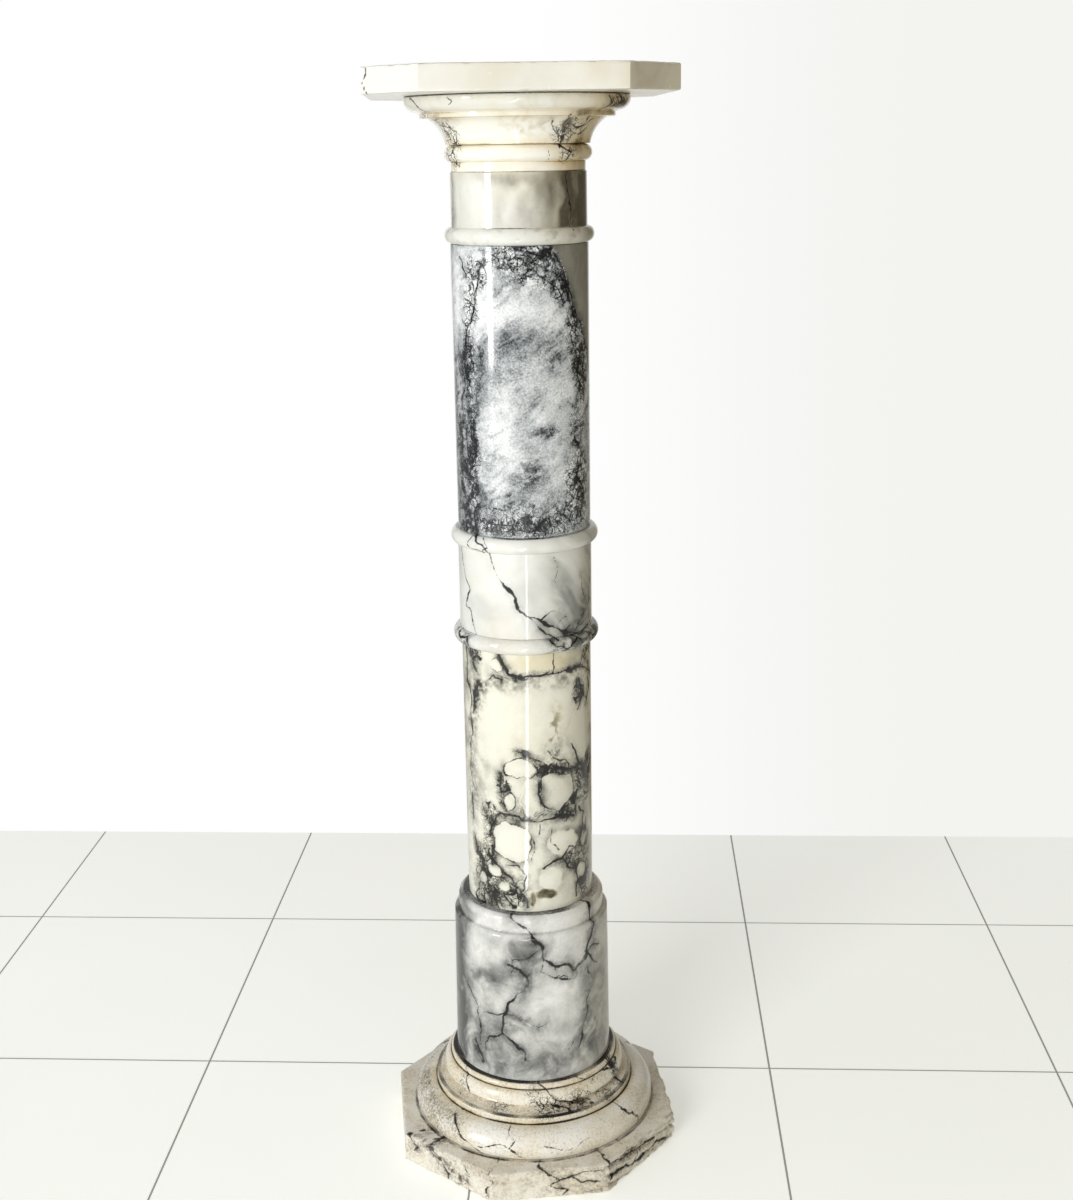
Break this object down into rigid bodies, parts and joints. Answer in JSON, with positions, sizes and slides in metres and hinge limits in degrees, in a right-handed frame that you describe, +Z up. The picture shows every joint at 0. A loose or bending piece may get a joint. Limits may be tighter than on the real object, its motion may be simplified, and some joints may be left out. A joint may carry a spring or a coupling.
{
  "type": "pedestal column",
  "caption": "Polished stone pedestal column with a ringed round shaft, moulded capital and base, canted square top slab and octagonal plinth.",
  "frame": {"origin": "middle of the plinth's underside", "axes": "+Z up along the column's axis; the plinth's front side faces -Y and +X is to the right of it"},
  "size_m": [0.276, 0.276, 1.05],
  "materials": {
    "plinth_stone": "honed cream marble with grey veins, worn and chipped edges",
    "base_stone": "polished warm cream marble with dark veins",
    "grey_drum_stone": "polished clouded grey marble with black veins",
    "lower_shaft_stone": "polished cream breccia marble with a black net of veins",
    "middle_drum_stone": "polished white marble with thin black veins",
    "upper_shaft_stone": "polished dark grey speckled breccia marble with pale clouds",
    "neck_stone": "polished grey-white translucent marble",
    "capital_stone": "polished ivory marble with fine dark veins",
    "slab_stone": "polished pale cream marble"
  },
  "bodies": {
    "root": {"plinth": "plinth_stone", "base_moulding": "base_stone", "base_drum": "grey_drum_stone", "lower_shaft": "lower_shaft_stone", "middle_drum": "middle_drum_stone", "upper_shaft": "upper_shaft_stone", "neck_drum": "neck_stone", "capital": "capital_stone", "top_slab": "slab_stone"}
  },
  "joints": []
}
